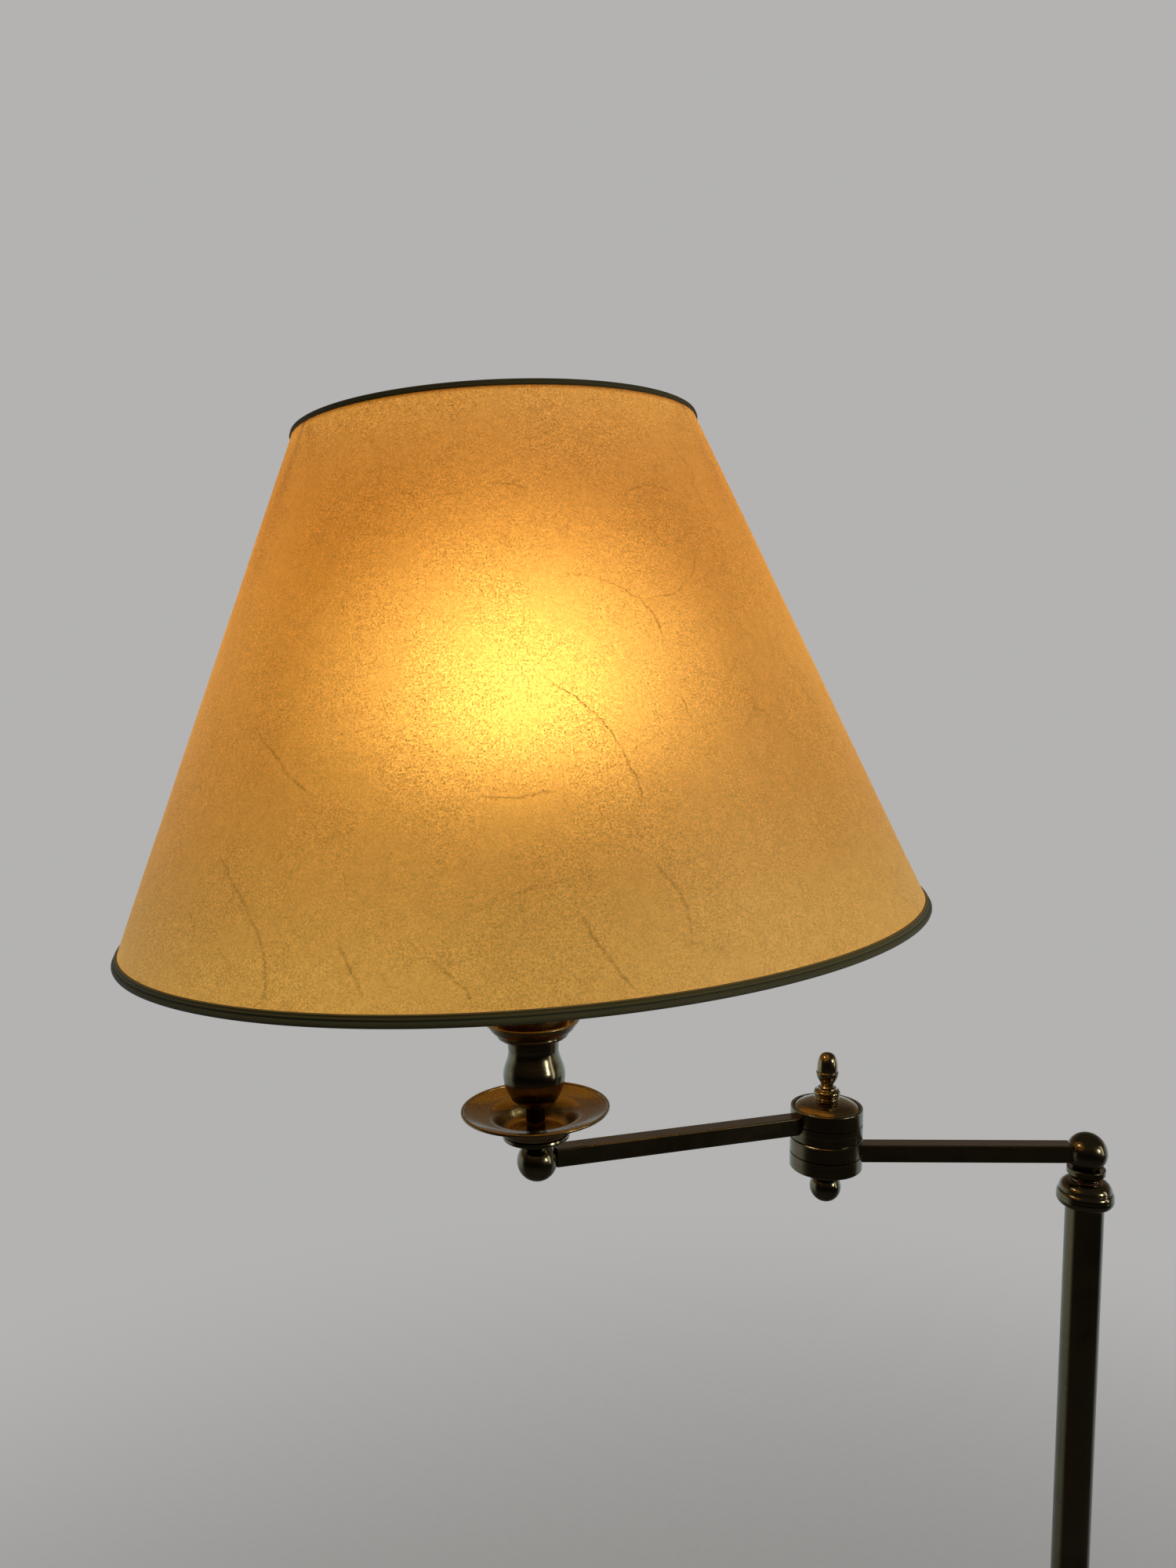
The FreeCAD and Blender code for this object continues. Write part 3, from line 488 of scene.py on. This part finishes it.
def parchment(name, folds=True):
    b = Mat(name)
    uv = b.add("ShaderNodeUVMap", None, uv_map="flat").outputs[0]

    def drift(scale, amount, detail=3.0, start=uv):
        c = b.add("ShaderNodeTexNoise", {"Vector": start, "Scale": scale, "Detail": detail, "Roughness": 0.6}).outputs["Color"]
        return b.vmath("SCALE", b.vmath("SUBTRACT", c, (0.5, 0.5, 0.5)), scale=amount)

    def ridged(vec, scale, detail, gain=1.4, offset=0.85):
        n = b.add("ShaderNodeTexNoise", None, noise_type="RIDGED_MULTIFRACTAL")
        n.normalize = True
        for k, v in (("Vector", vec), ("Scale", scale), ("Detail", detail), ("Roughness", 0.55), ("Offset", offset),
                     ("Gain", gain), ("Distortion", 0.6)):
            b.put(n.inputs[k], v)
        return n.outputs["Fac"]

    # the sheet's own patterns, in metres of paper
    soft = b.vmath("ADD", uv, drift(30.0, 0.020))
    cloud = b.noise(uv, 11.0, 5.0, 0.55, 0.4)
    swirl = b.noise(soft, 120.0, 6.0, 0.62, 1.2)
    crinkle = ridged(soft, 150.0, 4.0)
    fibre = b.noise(b.vmath("ADD", uv, drift(260.0, 0.004)), 640.0, 4.0, 0.65, 1.5)
    speck = b.noise(uv, 1250.0, 2.0, 0.6)
    fleck = b.noise(b.vmath("ADD", uv, (0.37, 0.11, 0.0)), 620.0, 3.0, 0.62, 0.8)
    # wandering wrinkles: edges of a large bent cell pattern, broken up
    v1 = b.voronoi(b.vmath("ADD", uv, drift(34.0, 0.030, 4.0)), 15.0, "DISTANCE_TO_EDGE")
    thin = b.ramp(v1, 0.0, 0.016, 1.0, 0.0)
    gate = b.ramp(b.noise(b.vmath("ADD", uv, (0.9, 0.4, 0.0)), 30.0, 2.0, 0.5), 0.52, 0.64)
    v2 = b.voronoi(b.vmath("ADD", uv, drift(80.0, 0.012, 4.0)), 70.0, "DISTANCE_TO_EDGE")
    thin2 = b.math("MULTIPLY", b.ramp(v2, 0.0, 0.050, 1.0, 0.0), b.ramp(b.noise(uv, 55.0, 2.0, 0.5), 0.50, 0.68))
    total = b.math("ADD", b.math("MULTIPLY", b.math("MULTIPLY", thin, gate), 0.16), b.math("MULTIPLY", thin2, 0.16))
    if folds:
        pw = b.vmath("ADD", b.vmath("ADD", uv, drift(55.0, 0.0055, 2.0)), drift(240.0, 0.0022, 4.0))
        broken = b.ramp(b.noise(uv, 170.0, 3.0, 0.6), 0.30, 0.62, 0.35, 1.0)
        grp = fold_group()
        acc = None
        for a, c, sag, width, strength in FOLDS:
            a, c = Vector(a) * 0.001, Vector(c) * 0.001
            L = (c - a).length
            n = b.add("ShaderNodeGroup", None, node_tree=grp)
            b.put(n.inputs["P"], pw)
            n.inputs["A"].default_value = (a.x, a.y, 0)
            n.inputs["Dir"].default_value = ((c - a).x / L, (c - a).y / L, 0)
            n.inputs["Length"].default_value = L
            n.inputs["Sag"].default_value = sag
            n.inputs["Width"].default_value = width * 0.001 * 2.2
            n.inputs["Strength"].default_value = strength
            acc = n.outputs[0] if acc is None else b.math("MAXIMUM", acc, n.outputs[0])
        total = b.math("MAXIMUM", total, b.math("MULTIPLY", acc, broken))
    total = b.math("MINIMUM", total, 1.0)
    # how much light the sheet lets through, about 1
    rid = b.ramp(crinkle, 0.25, 0.85, -0.5, 0.5, smooth=False)
    dense = b.math("ADD", b.math("MULTIPLY", b.math("SUBTRACT", swirl, 0.5), 0.20), b.math("MULTIPLY", rid, -0.07))
    dense = b.math("ADD", dense, b.math("MULTIPLY", b.math("SUBTRACT", fibre, 0.5), 0.14))
    dense = b.math("ADD", dense, b.math("MULTIPLY", b.math("SUBTRACT", cloud, 0.5), 0.22))
    through = b.math("SUBTRACT", b.math("ADD", 1.0, dense), b.math("MULTIPLY", total, 0.42))
    hair = b.ramp(ridged(b.vmath("ADD", uv, drift(420.0, 0.0035)), 430.0, 3.0), 0.30, 0.80, 0.6, -0.6, smooth=False)
    grit = b.math("ADD", b.math("MULTIPLY", b.math("SUBTRACT", speck, 0.5), 4.2), b.math("MULTIPLY", b.math("SUBTRACT", fleck, 0.5), 1.5))
    grit = b.math("ADD", grit, b.math("ADD", b.math("MULTIPLY", b.math("SUBTRACT", fibre, 0.5), 0.7), b.math("MULTIPLY", hair, 0.30)))
    grit = b.math("MULTIPLY", grit, b.ramp(b.noise(uv, 26.0, 4.0, 0.6, 0.5), 0.34, 0.62, 0.40, 1.0))
    glint = b.math("MAXIMUM", b.math("ADD", b.math("ADD", 1.0, grit), b.math("MULTIPLY", total, -0.8)), 0.08)
    # deeper amber towards the top
    obj = b.place(SHADE)
    ox, oy, oz = b.xyz(obj)
    high = b.ramp(oz, 0.075, 0.20)
    tint = b.mix(high, (0.97, 0.500, 0.078), (0.92, 0.375, 0.028))
    tint = b.mix(b.ramp(through, 0.80, 1.12, 0.30, 0.0), tint, (0.90, 0.37, 0.040))
    # painted shade: the light through the sheet is dimmed towards the top and on the -X side
    painted_shade_top_and_side = b.math("MULTIPLY", b.ramp(oz, 0.10, 0.21, 1.0, 0.74), b.ramp(ox, -0.20, -0.03, 0.82, 1.0))
    lit = b.vmath("SCALE", tint, scale=b.math("MULTIPLY", b.math("MULTIPLY", through, painted_shade_top_and_side), LIT))
    beam = b.vmath("SCALE", b.mix(0.40, tint, (1.0, 0.68, 0.22)), scale=b.math("MULTIPLY", glint, BEAM))
    skin = b.mix(b.ramp(through, 0.80, 1.15), (0.36, 0.20, 0.070), (0.50, 0.30, 0.125))
    skin = b.mix(b.math("MULTIPLY", total, 0.5), skin, (0.22, 0.11, 0.04))
    h = b.math("ADD", b.math("MULTIPLY", swirl, 0.50), b.math("MULTIPLY", crinkle, 0.30))
    h = b.math("ADD", h, b.math("MULTIPLY", fibre, 0.16))
    h = b.math("ADD", h, b.math("MULTIPLY", total, 0.35))
    nrm = b.bump(h, 0.00085, 0.60)
    face = b.principled(Base_Color=skin, Roughness=b.fmix(fibre, 0.40, 0.60), Normal=nrm)
    back = b.add("ShaderNodeBsdfTranslucent", {"Color": lit, "Normal": nrm})
    fwd = b.add("ShaderNodeBsdfRefraction", {"Color": beam, "Roughness": 1.0, "IOR": 1.62})
    s1 = b.add("ShaderNodeMixShader", {0: 0.34, 1: face.outputs[0], 2: back.outputs[0]})
    s2 = b.add("ShaderNodeMixShader", {0: 0.34, 1: s1.outputs[0], 2: fwd.outputs[0]})
    # painted glow: emission standing in for the bulb's light scattered through the sheet, stronger towards the bottom
    # edge and weaker towards the top and on the -X side
    painted_glow_falloff = b.math("MULTIPLY", b.ramp(oz, -0.045, 0.06, 1.75, 1.0), b.ramp(oz, 0.08, 0.20, 1.0, 0.62))
    painted_glow_falloff = b.math("MULTIPLY", painted_glow_falloff, b.ramp(ox, -0.20, -0.03, 0.72, 1.0))
    em = b.add("ShaderNodeEmission", {"Color": tint, "Strength": b.math("MULTIPLY", b.math("MULTIPLY", through, painted_glow_falloff), PAINTED_GLOW)})
    s3 = b.add("ShaderNodeAddShader", {0: s2.outputs[0], 1: em.outputs[0]})
    geo = b.add("ShaderNodeNewGeometry")
    clear = b.add("ShaderNodeBsdfTransparent", {"Color": (1.0, 1.0, 1.0)})
    s4 = b.add("ShaderNodeMixShader", {0: geo.outputs["Backfacing"], 1: s3.outputs[0], 2: clear.outputs[0]})
    m = b.done(s4)
    m.cycles.emission_sampling = "NONE"
    return m


LIT, BEAM, PAINTED_GLOW = 0.94, 0.93, 0.112
m_paper = parchment("parchment")
paper = build_paper(m_paper)
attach(paper, "outer_arm")
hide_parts("shade_paper")


# ---------------------------------------------------------------- braids on the shade's edges
def ring_piece(name, profile, world, mat, body, n=720, wave=None, replaces=()):
    """A closed profile of (radius, height) turned round the frame's axis, with UVs in metres. wave(i, j) may move a point."""
    k = len(profile)
    verts, faces, uvs = [], [], []
    lens = [0.0]
    for a, c in zip(profile, profile[1:] + profile[:1]):
        lens.append(lens[-1] + math.hypot(c[0] - a[0], c[1] - a[1]))
    rm = sum(p[0] for p in profile) / k
    for i in range(n):
        a = 2 * math.pi * i / n
        for j, (r, z) in enumerate(profile):
            dr, dz = wave(a, j, r, z) if wave else (0.0, 0.0)
            verts.append(((r + dr) * math.cos(a), (r + dr) * math.sin(a), z + dz))
    for i in range(n):
        i2 = (i + 1) % n
        for j in range(k):
            j2 = (j + 1) % k
            faces.append([i * k + j, i2 * k + j, i2 * k + j2, i * k + j2])
            u0, u1 = 2 * math.pi * i / n * rm, 2 * math.pi * (i + 1) / n * rm
            uvs.extend([(u0, lens[j]), (u1, lens[j]), (u1, lens[j + 1]), (u0, lens[j + 1])])
    o = mesh_object(name, verts, faces, mat, True, uvs)
    o.data.transform(world)
    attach(o, body)
    if replaces:
        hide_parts(*replaces)
    return o


def braid(name, base, raised_thread_tone_and_sheen, gold, line_at=None, line_width=0.00035, weave=1.0):
    """Ribbed edging ribbon: fine cross threads over the ribs, their raised crowns given the lighter colour as painted
    sheen over a two-tone weave, and a gold thread.
    """
    b = Mat(name)
    uv = b.add("ShaderNodeUVMap", None, uv_map="flat").outputs[0]
    u, v, _ = b.xyz(uv)
    slant = b.math("ADD", u, b.math("MULTIPLY", v, 0.55))
    thread = b.math("SINE", b.math("MULTIPLY", slant, 2 * math.pi / 0.00062))
    jitter = b.noise(b.vec(b.math("MULTIPLY", u, 1.0), b.math("MULTIPLY", v, 4.0), 0.0), 700.0, 3.0, 0.6)
    wide = b.noise(b.vec(u, 0.0, 0.0), 9.0, 3.0, 0.5)
    fac = b.math("ADD", b.math("MULTIPLY", b.math("ADD", b.math("MULTIPLY", thread, 0.5), 0.5), 0.45), b.math("MULTIPLY", jitter, 0.55))
    # the threads' raised crowns, where the bump is high, get the lighter colour: a two-tone weave with painted sheen
    col = b.mix(b.ramp(fac, 0.2, 0.8), base, raised_thread_tone_and_sheen)
    col = b.mix(b.math("MULTIPLY", b.ramp(wide, 0.35, 0.7), 0.4), col, tuple(x * 0.55 for x in base))
    if line_at is not None:
        for at, c, k in line_at:
            near = b.math("ABSOLUTE", b.math("SUBTRACT", v, at))
            m = b.math("MULTIPLY", b.ramp(b.math("DIVIDE", near, line_width), 0.4, 1.3, 1.0, 0.0),
                       b.ramp(b.math("ADD", b.math("MULTIPLY", thread, 0.25), jitter), 0.10, 0.55, 0.45, 1.0))
            col = b.mix(b.math("MULTIPLY", m, k), col, c)
    h = b.math("ADD", b.math("MULTIPLY", thread, 0.35), b.math("MULTIPLY", jitter, 0.8))
    s = b.principled(Base_Color=col, Roughness=b.fmix(jitter, 0.50, 0.72), Normal=b.bump(h, 0.00010 * weave, 0.8))
    s.inputs["Sheen Weight"].default_value = 0.04
    s.inputs["Sheen Roughness"].default_value = 0.4
    s.inputs["Specular IOR Level"].default_value = 0.22
    return b.done(s)


def edge(points, out):
    """Profile points as (share along the paper from its edge in mm, height over the paper in mm), to (r, s)."""
    pts = []
    for s_mm, h_mm in points:
        s = out + s_mm * 0.001
        pts.append((radius(s) + h_mm * 0.001, s))
    return pts


# bottom, upper ribbon: three soft ribs, a gold thread along the upper rib and a painted highlight line by the middle
# rib's crest
upper = edge([(4.10, 0.03), (4.15, 0.45), (3.95, 0.85), (3.72, 0.98), (3.50, 0.86), (3.36, 0.72), (3.18, 0.86), (2.92, 1.16),
              (2.62, 1.24), (2.36, 1.10), (2.22, 0.88), (2.06, 0.78), (1.92, 0.82), (1.82, 0.55), (1.80, 0.03)], S0)
m_up = braid("braid_olive_gold", (0.062, 0.048, 0.012), (0.185, 0.145, 0.040), (0.30, 0.20, 0.07),
             line_at=[(0.00086, (0.27, 0.17, 0.06), 0.85), (0.00285, (0.17, 0.18, 0.09), 0.75)], line_width=0.00022)
ring_piece("bottom_braid_upper", upper, SHADE, m_up, "outer_arm", replaces=("bottom_trim_upper",))
# bottom, lower ribbon: one broad rib that turns under the edge
lower = edge([(1.78, 0.03), (1.74, 0.60), (1.55, 0.95), (1.25, 1.22), (0.85, 1.38), (0.40, 1.44), (-0.05, 1.32), (-0.45, 0.98),
              (-0.68, 0.50), (-0.76, -0.1), (-0.78, -0.9), (-0.74, -1.8), (-0.60, -2.45), (-0.30, -2.72), (-0.06, -2.60),
              (-0.05, -1.6), (-0.05, -0.4), (-0.05, 0.03)], S0)
m_low = braid("braid_grey_green", (0.050, 0.043, 0.014), (0.145, 0.128, 0.052), (0.30, 0.20, 0.07),
              line_at=[(0.00068, (0.14, 0.15, 0.10), 0.6)], line_width=0.0003)
ring_piece("bottom_braid_lower", lower, SHADE, m_low, "outer_arm", replaces=("bottom_trim_lower",))
# top: one ribbon folded over the edge
top = edge([(-2.55, 0.03), (-2.58, 0.45), (-2.40, 0.85), (-2.10, 1.10), (-1.75, 1.18), (-1.48, 1.08), (-1.34, 1.00), (-1.15, 1.10), (-0.80, 1.24),
            (-0.35, 1.24), (0.05, 1.10), (0.34, 0.74), (0.48, 0.20), (0.52, -0.5), (0.52, -1.4), (0.48, -2.1), (0.34, -2.62), (0.10, -2.80),
            (0.06, -1.8), (0.06, -0.6), (0.06, 0.03)], S1)
m_top = braid("braid_dark_olive", (0.036, 0.027, 0.007), (0.11, 0.085, 0.024), (0.25, 0.17, 0.06),
              line_at=[(0.00215, (0.12, 0.12, 0.055), 0.45)], line_width=0.0003)
ring_piece("top_braid", top, SHADE, m_top, "outer_arm", n=560, replaces=("top_trim",))


# overlap of the paper at the back
def lap_piece():
    a0, a1 = math.radians(72 - 2.0), math.radians(72 + 2.0)
    sa, sb, th = S0 + 0.0044, S1 - 0.0029, 0.0005
    na, ns = 16, 90
    verts, faces, uvs = [], [], []

    def phi_of(a):
        return a + math.pi / 2 - 2 * math.pi

    def put(off):
        first = len(verts)
        for j in range(ns + 1):
            s = sa + (sb - sa) * j / ns
            for i in range(na + 1):
                a = a0 + (a1 - a0) * i / na
                rr = radius(s) + 0.00004 + off + max(ripple(phi_of(a), s), 0.0) * (0.4 if off == 0 else 0.8)
                verts.append((rr * math.cos(a), rr * math.sin(a), s))
        return first

    lo_, hi_ = put(0.0), put(th)

    def f(idx, ij):
        faces.append(idx)
        for i, j in ij:
            uvs.append(flat_point(phi_of(a0 + (a1 - a0) * i / na), sa + (sb - sa) * j / ns))

    w = na + 1
    for j in range(ns):
        for i in range(na):
            f([hi_ + j * w + i, hi_ + j * w + i + 1, hi_ + (j + 1) * w + i + 1, hi_ + (j + 1) * w + i], [(i, j), (i + 1, j), (i + 1, j + 1), (i, j + 1)])
            f([lo_ + j * w + i, lo_ + (j + 1) * w + i, lo_ + (j + 1) * w + i + 1, lo_ + j * w + i + 1], [(i, j), (i, j + 1), (i + 1, j + 1), (i + 1, j)])
    for j in range(ns):
        for i, flip in ((0, False), (na, True)):
            q = [lo_ + j * w + i, hi_ + j * w + i, hi_ + (j + 1) * w + i, lo_ + (j + 1) * w + i]
            ij = [(i, j), (i, j), (i, j + 1), (i, j + 1)]
            f(q[::-1] if flip else q, ij[::-1] if flip else ij)
    for i in range(na):
        for j, flip in ((0, True), (ns, False)):
            q = [lo_ + j * w + i, hi_ + j * w + i, hi_ + j * w + i + 1, lo_ + j * w + i + 1]
            ij = [(i, j), (i, j), (i + 1, j), (i + 1, j)]
            f(q if flip else q[::-1], ij if flip else ij[::-1])
    o = mesh_object("paper_overlap", verts, faces, m_paper, False, uvs)
    o.data.transform(SHADE)
    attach(o, "outer_arm")
    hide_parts("shade_seam")
    return o


lap = lap_piece()


# ---------------------------------------------------------------- lights
def area(name, place, look, size, power, colour, size_y=None):
    d = bpy.data.lights.new(name, "AREA")
    d.shape = "RECTANGLE" if size_y else "SQUARE"
    d.size = size
    if size_y:
        d.size_y = size_y
    d.energy, d.color = power, colour
    o = bpy.data.objects.new(name, d)
    bpy.context.scene.collection.objects.link(o)
    o.location = place
    o.rotation_euler = (Vector(look) - Vector(place)).to_track_quat("-Z", "Y").to_euler()
    return o


lamp_data = bpy.data.lights.new("bulb_light", "POINT")
lamp_data.energy = 0.40
lamp_data.color = (1.0, 0.86, 0.66)
lamp_data.shadow_soft_size = 0.020
lamp = bpy.data.objects.new("bulb_light", lamp_data)
bpy.context.scene.collection.objects.link(lamp)
lamp.location = BULB
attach(lamp, "outer_arm")

area("window_right", (1.75, -1.35, 1.75), (-0.2, 0.0, 1.15), 0.30, 11.0, (0.88, 0.94, 1.0), 0.55)
area("window_right_2", (2.15, -0.55, 1.5), (-0.2, 0.0, 1.15), 0.22, 5.0, (0.90, 0.95, 1.0), 1.5)
area("soft_top", (-0.3, -0.4, 3.4), (-0.2, 0.0, 0.5), 2.4, 16.0, (1.0, 0.98, 0.95)).visible_glossy = False
area("soft_back", (-0.9, 2.4, 1.7), (-0.2, 0.0, 1.0), 1.8, 14.0, (1.0, 0.98, 0.96), 1.8).visible_glossy = False

# ---------------------------------------------------------------- world and floor
world = bpy.data.worlds.new("world")
world.use_nodes = True
bpy.context.scene.world = world
wb = Mat(tree=world.node_tree)
world.node_tree.nodes.clear()
w_out = world.node_tree.nodes.new("ShaderNodeOutputWorld")
direction = wb.add("ShaderNodeTexCoord").outputs["Generated"]
dx, dy, dz = wb.xyz(direction)
back = wb.ramp(wb.math("SUBTRACT", dy, wb.math("MULTIPLY", dx, 0.12)), -0.16, 0.26)
env = wb.mix(back, (0.012, 0.012, 0.012), (0.56, 0.66, 0.70))
env = wb.mix(wb.ramp(dz, 0.05, 0.20), env, wb.mix(back, (0.030, 0.026, 0.022), (0.20, 0.145, 0.105)))
env = wb.mix(wb.ramp(dz, 0.25, 0.65), env, (0.060, 0.056, 0.050))
env = wb.mix(wb.ramp(dz, -0.10, -0.85), env, (0.050, 0.045, 0.042))
BACKDROP = (0.455, 0.450, 0.445)
lp = wb.add("ShaderNodeLightPath")
seen = wb.mix(lp.outputs["Is Camera Ray"], env, BACKDROP)
bg = wb.add("ShaderNodeBackground", {"Color": seen, "Strength": 1.0})
wb.put(w_out.inputs["Surface"], bg.outputs[0])


def floor_piece():
    rings, n = 40, 96
    R = 6.0
    verts = [(0, 0, 0)]
    for j in range(1, rings + 1):
        r = R * (j / rings) ** 1.6
        verts += [(r * math.cos(2 * math.pi * i / n), r * math.sin(2 * math.pi * i / n), 0) for i in range(n)]
    faces = [[0, 1 + i, 1 + (i + 1) % n] for i in range(n)]
    for j in range(rings - 1):
        a, c = 1 + j * n, 1 + (j + 1) * n
        faces += [[a + i, c + i, c + (i + 1) % n, a + (i + 1) % n] for i in range(n)]
    b = Mat("pale_floor")
    p = b.place()
    x, y, z = b.xyz(p)
    r = b.math("SQRT", b.math("ADD", b.math("MULTIPLY", x, x), b.math("MULTIPLY", y, y)))
    grain = b.noise(p, 60.0, 4.0, 0.6)
    col = b.mix(grain, (0.70, 0.69, 0.68), (0.76, 0.755, 0.745))
    s = b.principled(Base_Color=col, Roughness=0.75)
    s.inputs["Specular IOR Level"].default_value = 0.2
    clear = b.add("ShaderNodeBsdfTransparent")
    mixed = b.add("ShaderNodeMixShader", {0: b.ramp(r, 0.55, 2.3), 1: s.outputs[0], 2: clear.outputs[0]})
    o = mesh_object("floor", verts, faces, b.done(mixed), False)
    o.location = (-0.1, 0.0, -0.0004)
    o.visible_glossy = False
    return o


floor_piece()

vs = bpy.context.scene.view_settings
vs.view_transform = "Standard"
vs.look = "None"
vs.exposure = 0.0
vs.gamma = 1.0
